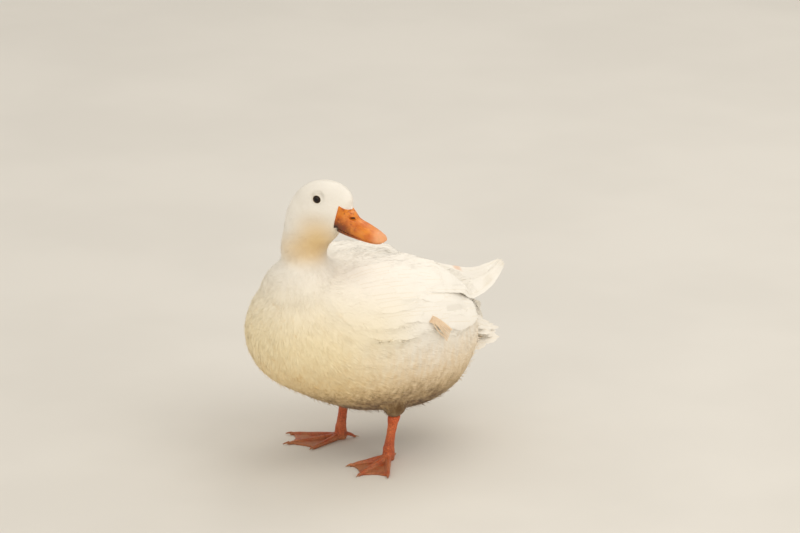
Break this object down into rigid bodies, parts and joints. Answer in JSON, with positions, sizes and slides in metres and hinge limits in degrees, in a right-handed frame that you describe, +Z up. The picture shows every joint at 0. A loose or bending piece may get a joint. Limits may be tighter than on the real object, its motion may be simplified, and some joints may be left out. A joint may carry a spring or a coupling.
{
  "type": "pekin duck",
  "caption": "Life-size white pekin duck standing on its webbed feet, neck drawn in, head turned back over its left shoulder; a still display model.",
  "frame": {"origin": "on the floor under the middle of the whole bird", "axes": "+Z up; the duck's body faces -Y, its tail points to +Y and its left side is +X; its head is turned back over the left shoulder"},
  "size_m": [0.2141, 0.3886, 0.3643],
  "materials": {
    "plumage": "soft white feathers, cream on neck and breast, dirty on the belly",
    "bill": "orange horn with a soft shine and dark specks near the mouth",
    "leg_skin": "scaled orange-red skin",
    "eye": "wet, very dark brown",
    "claw": "pale horn"
  },
  "bodies": {
    "root": {"torso": "plumage", "neck": "plumage", "head": "plumage", "wing_L": "plumage", "wing_R": "plumage", "tail": "plumage", "thigh_L": "plumage", "thigh_R": "plumage", "bill_upper": "bill", "bill_lower": "bill", "shank_L": "leg_skin", "shank_R": "leg_skin", "foot_L": "leg_skin", "foot_R": "leg_skin", "eye_L": "eye", "eye_R": "eye"}
  },
  "joints": []
}
